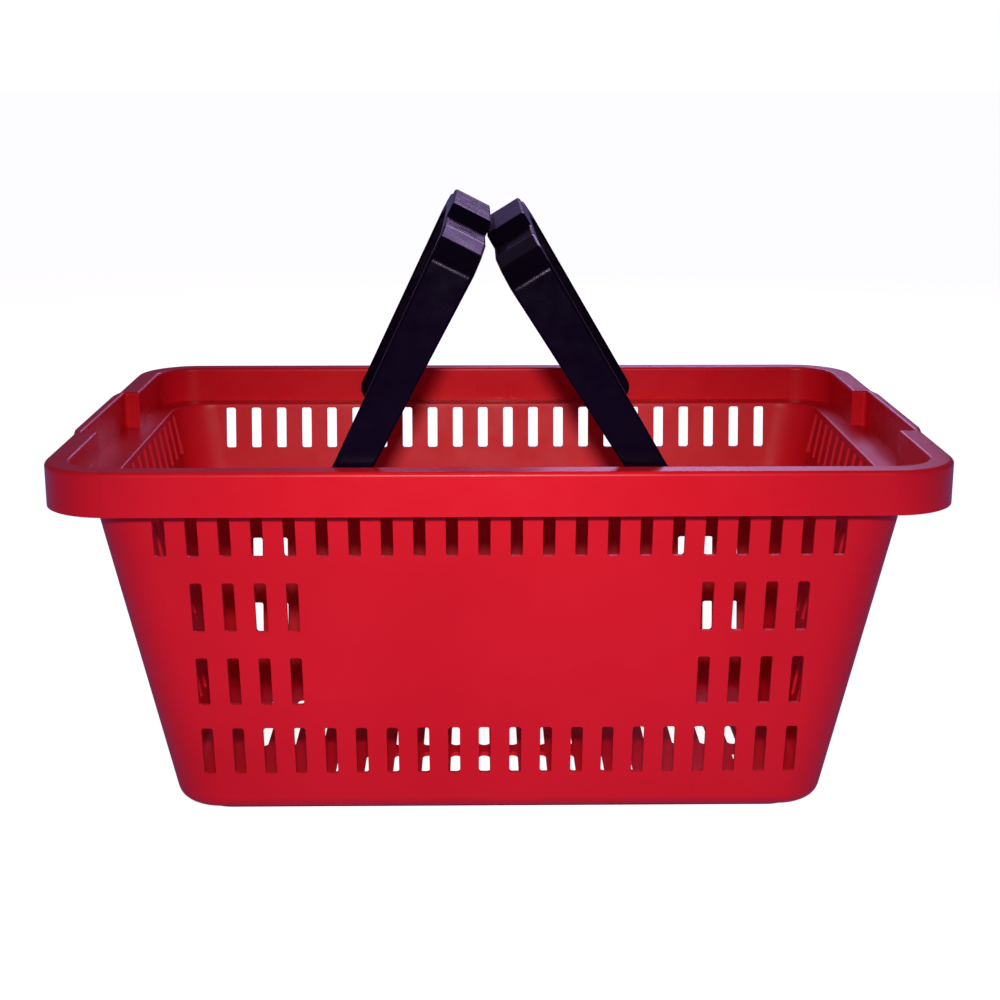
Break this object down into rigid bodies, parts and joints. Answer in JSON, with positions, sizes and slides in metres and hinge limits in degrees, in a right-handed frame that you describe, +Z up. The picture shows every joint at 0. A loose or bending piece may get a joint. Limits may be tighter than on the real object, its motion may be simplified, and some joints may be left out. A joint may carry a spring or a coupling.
{
  "type": "shopping basket",
  "caption": "Tapered red hand basket with slotted walls, a turned-down rim with finger pockets and dark bail handles that fold down onto the rim.",
  "frame": {"origin": "middle of the footprint, on the surface the basket stands on", "axes": "+X along the length of the basket, +Y across it, +Z up"},
  "size_m": [0.4456, 0.3, 0.3131],
  "materials": {
    "basket_plastic": "smooth injection-moulded red polypropylene with a soft gloss",
    "handle_plastic": "injection-moulded black plastic with a violet cast and a soft gloss"
  },
  "bodies": {
    "basket": {"basket_body": "basket_plastic"},
    "left_handle": {"handle_left": "handle_plastic"},
    "right_handle": {"handle_right": "handle_plastic"}
  },
  "joints": [
    {"name": "left_handle_fold", "type": "hinge", "parent": "basket", "child": "left_handle", "pos_m": [-0.0756, 0, 0.185], "axis": [0, -1, 0], "range_deg": [0, 115.6]},
    {"name": "right_handle_fold", "type": "hinge", "parent": "basket", "child": "right_handle", "pos_m": [0.0756, 0, 0.185], "axis": [0, 1, 0], "range_deg": [0, 120.4]}
  ]
}
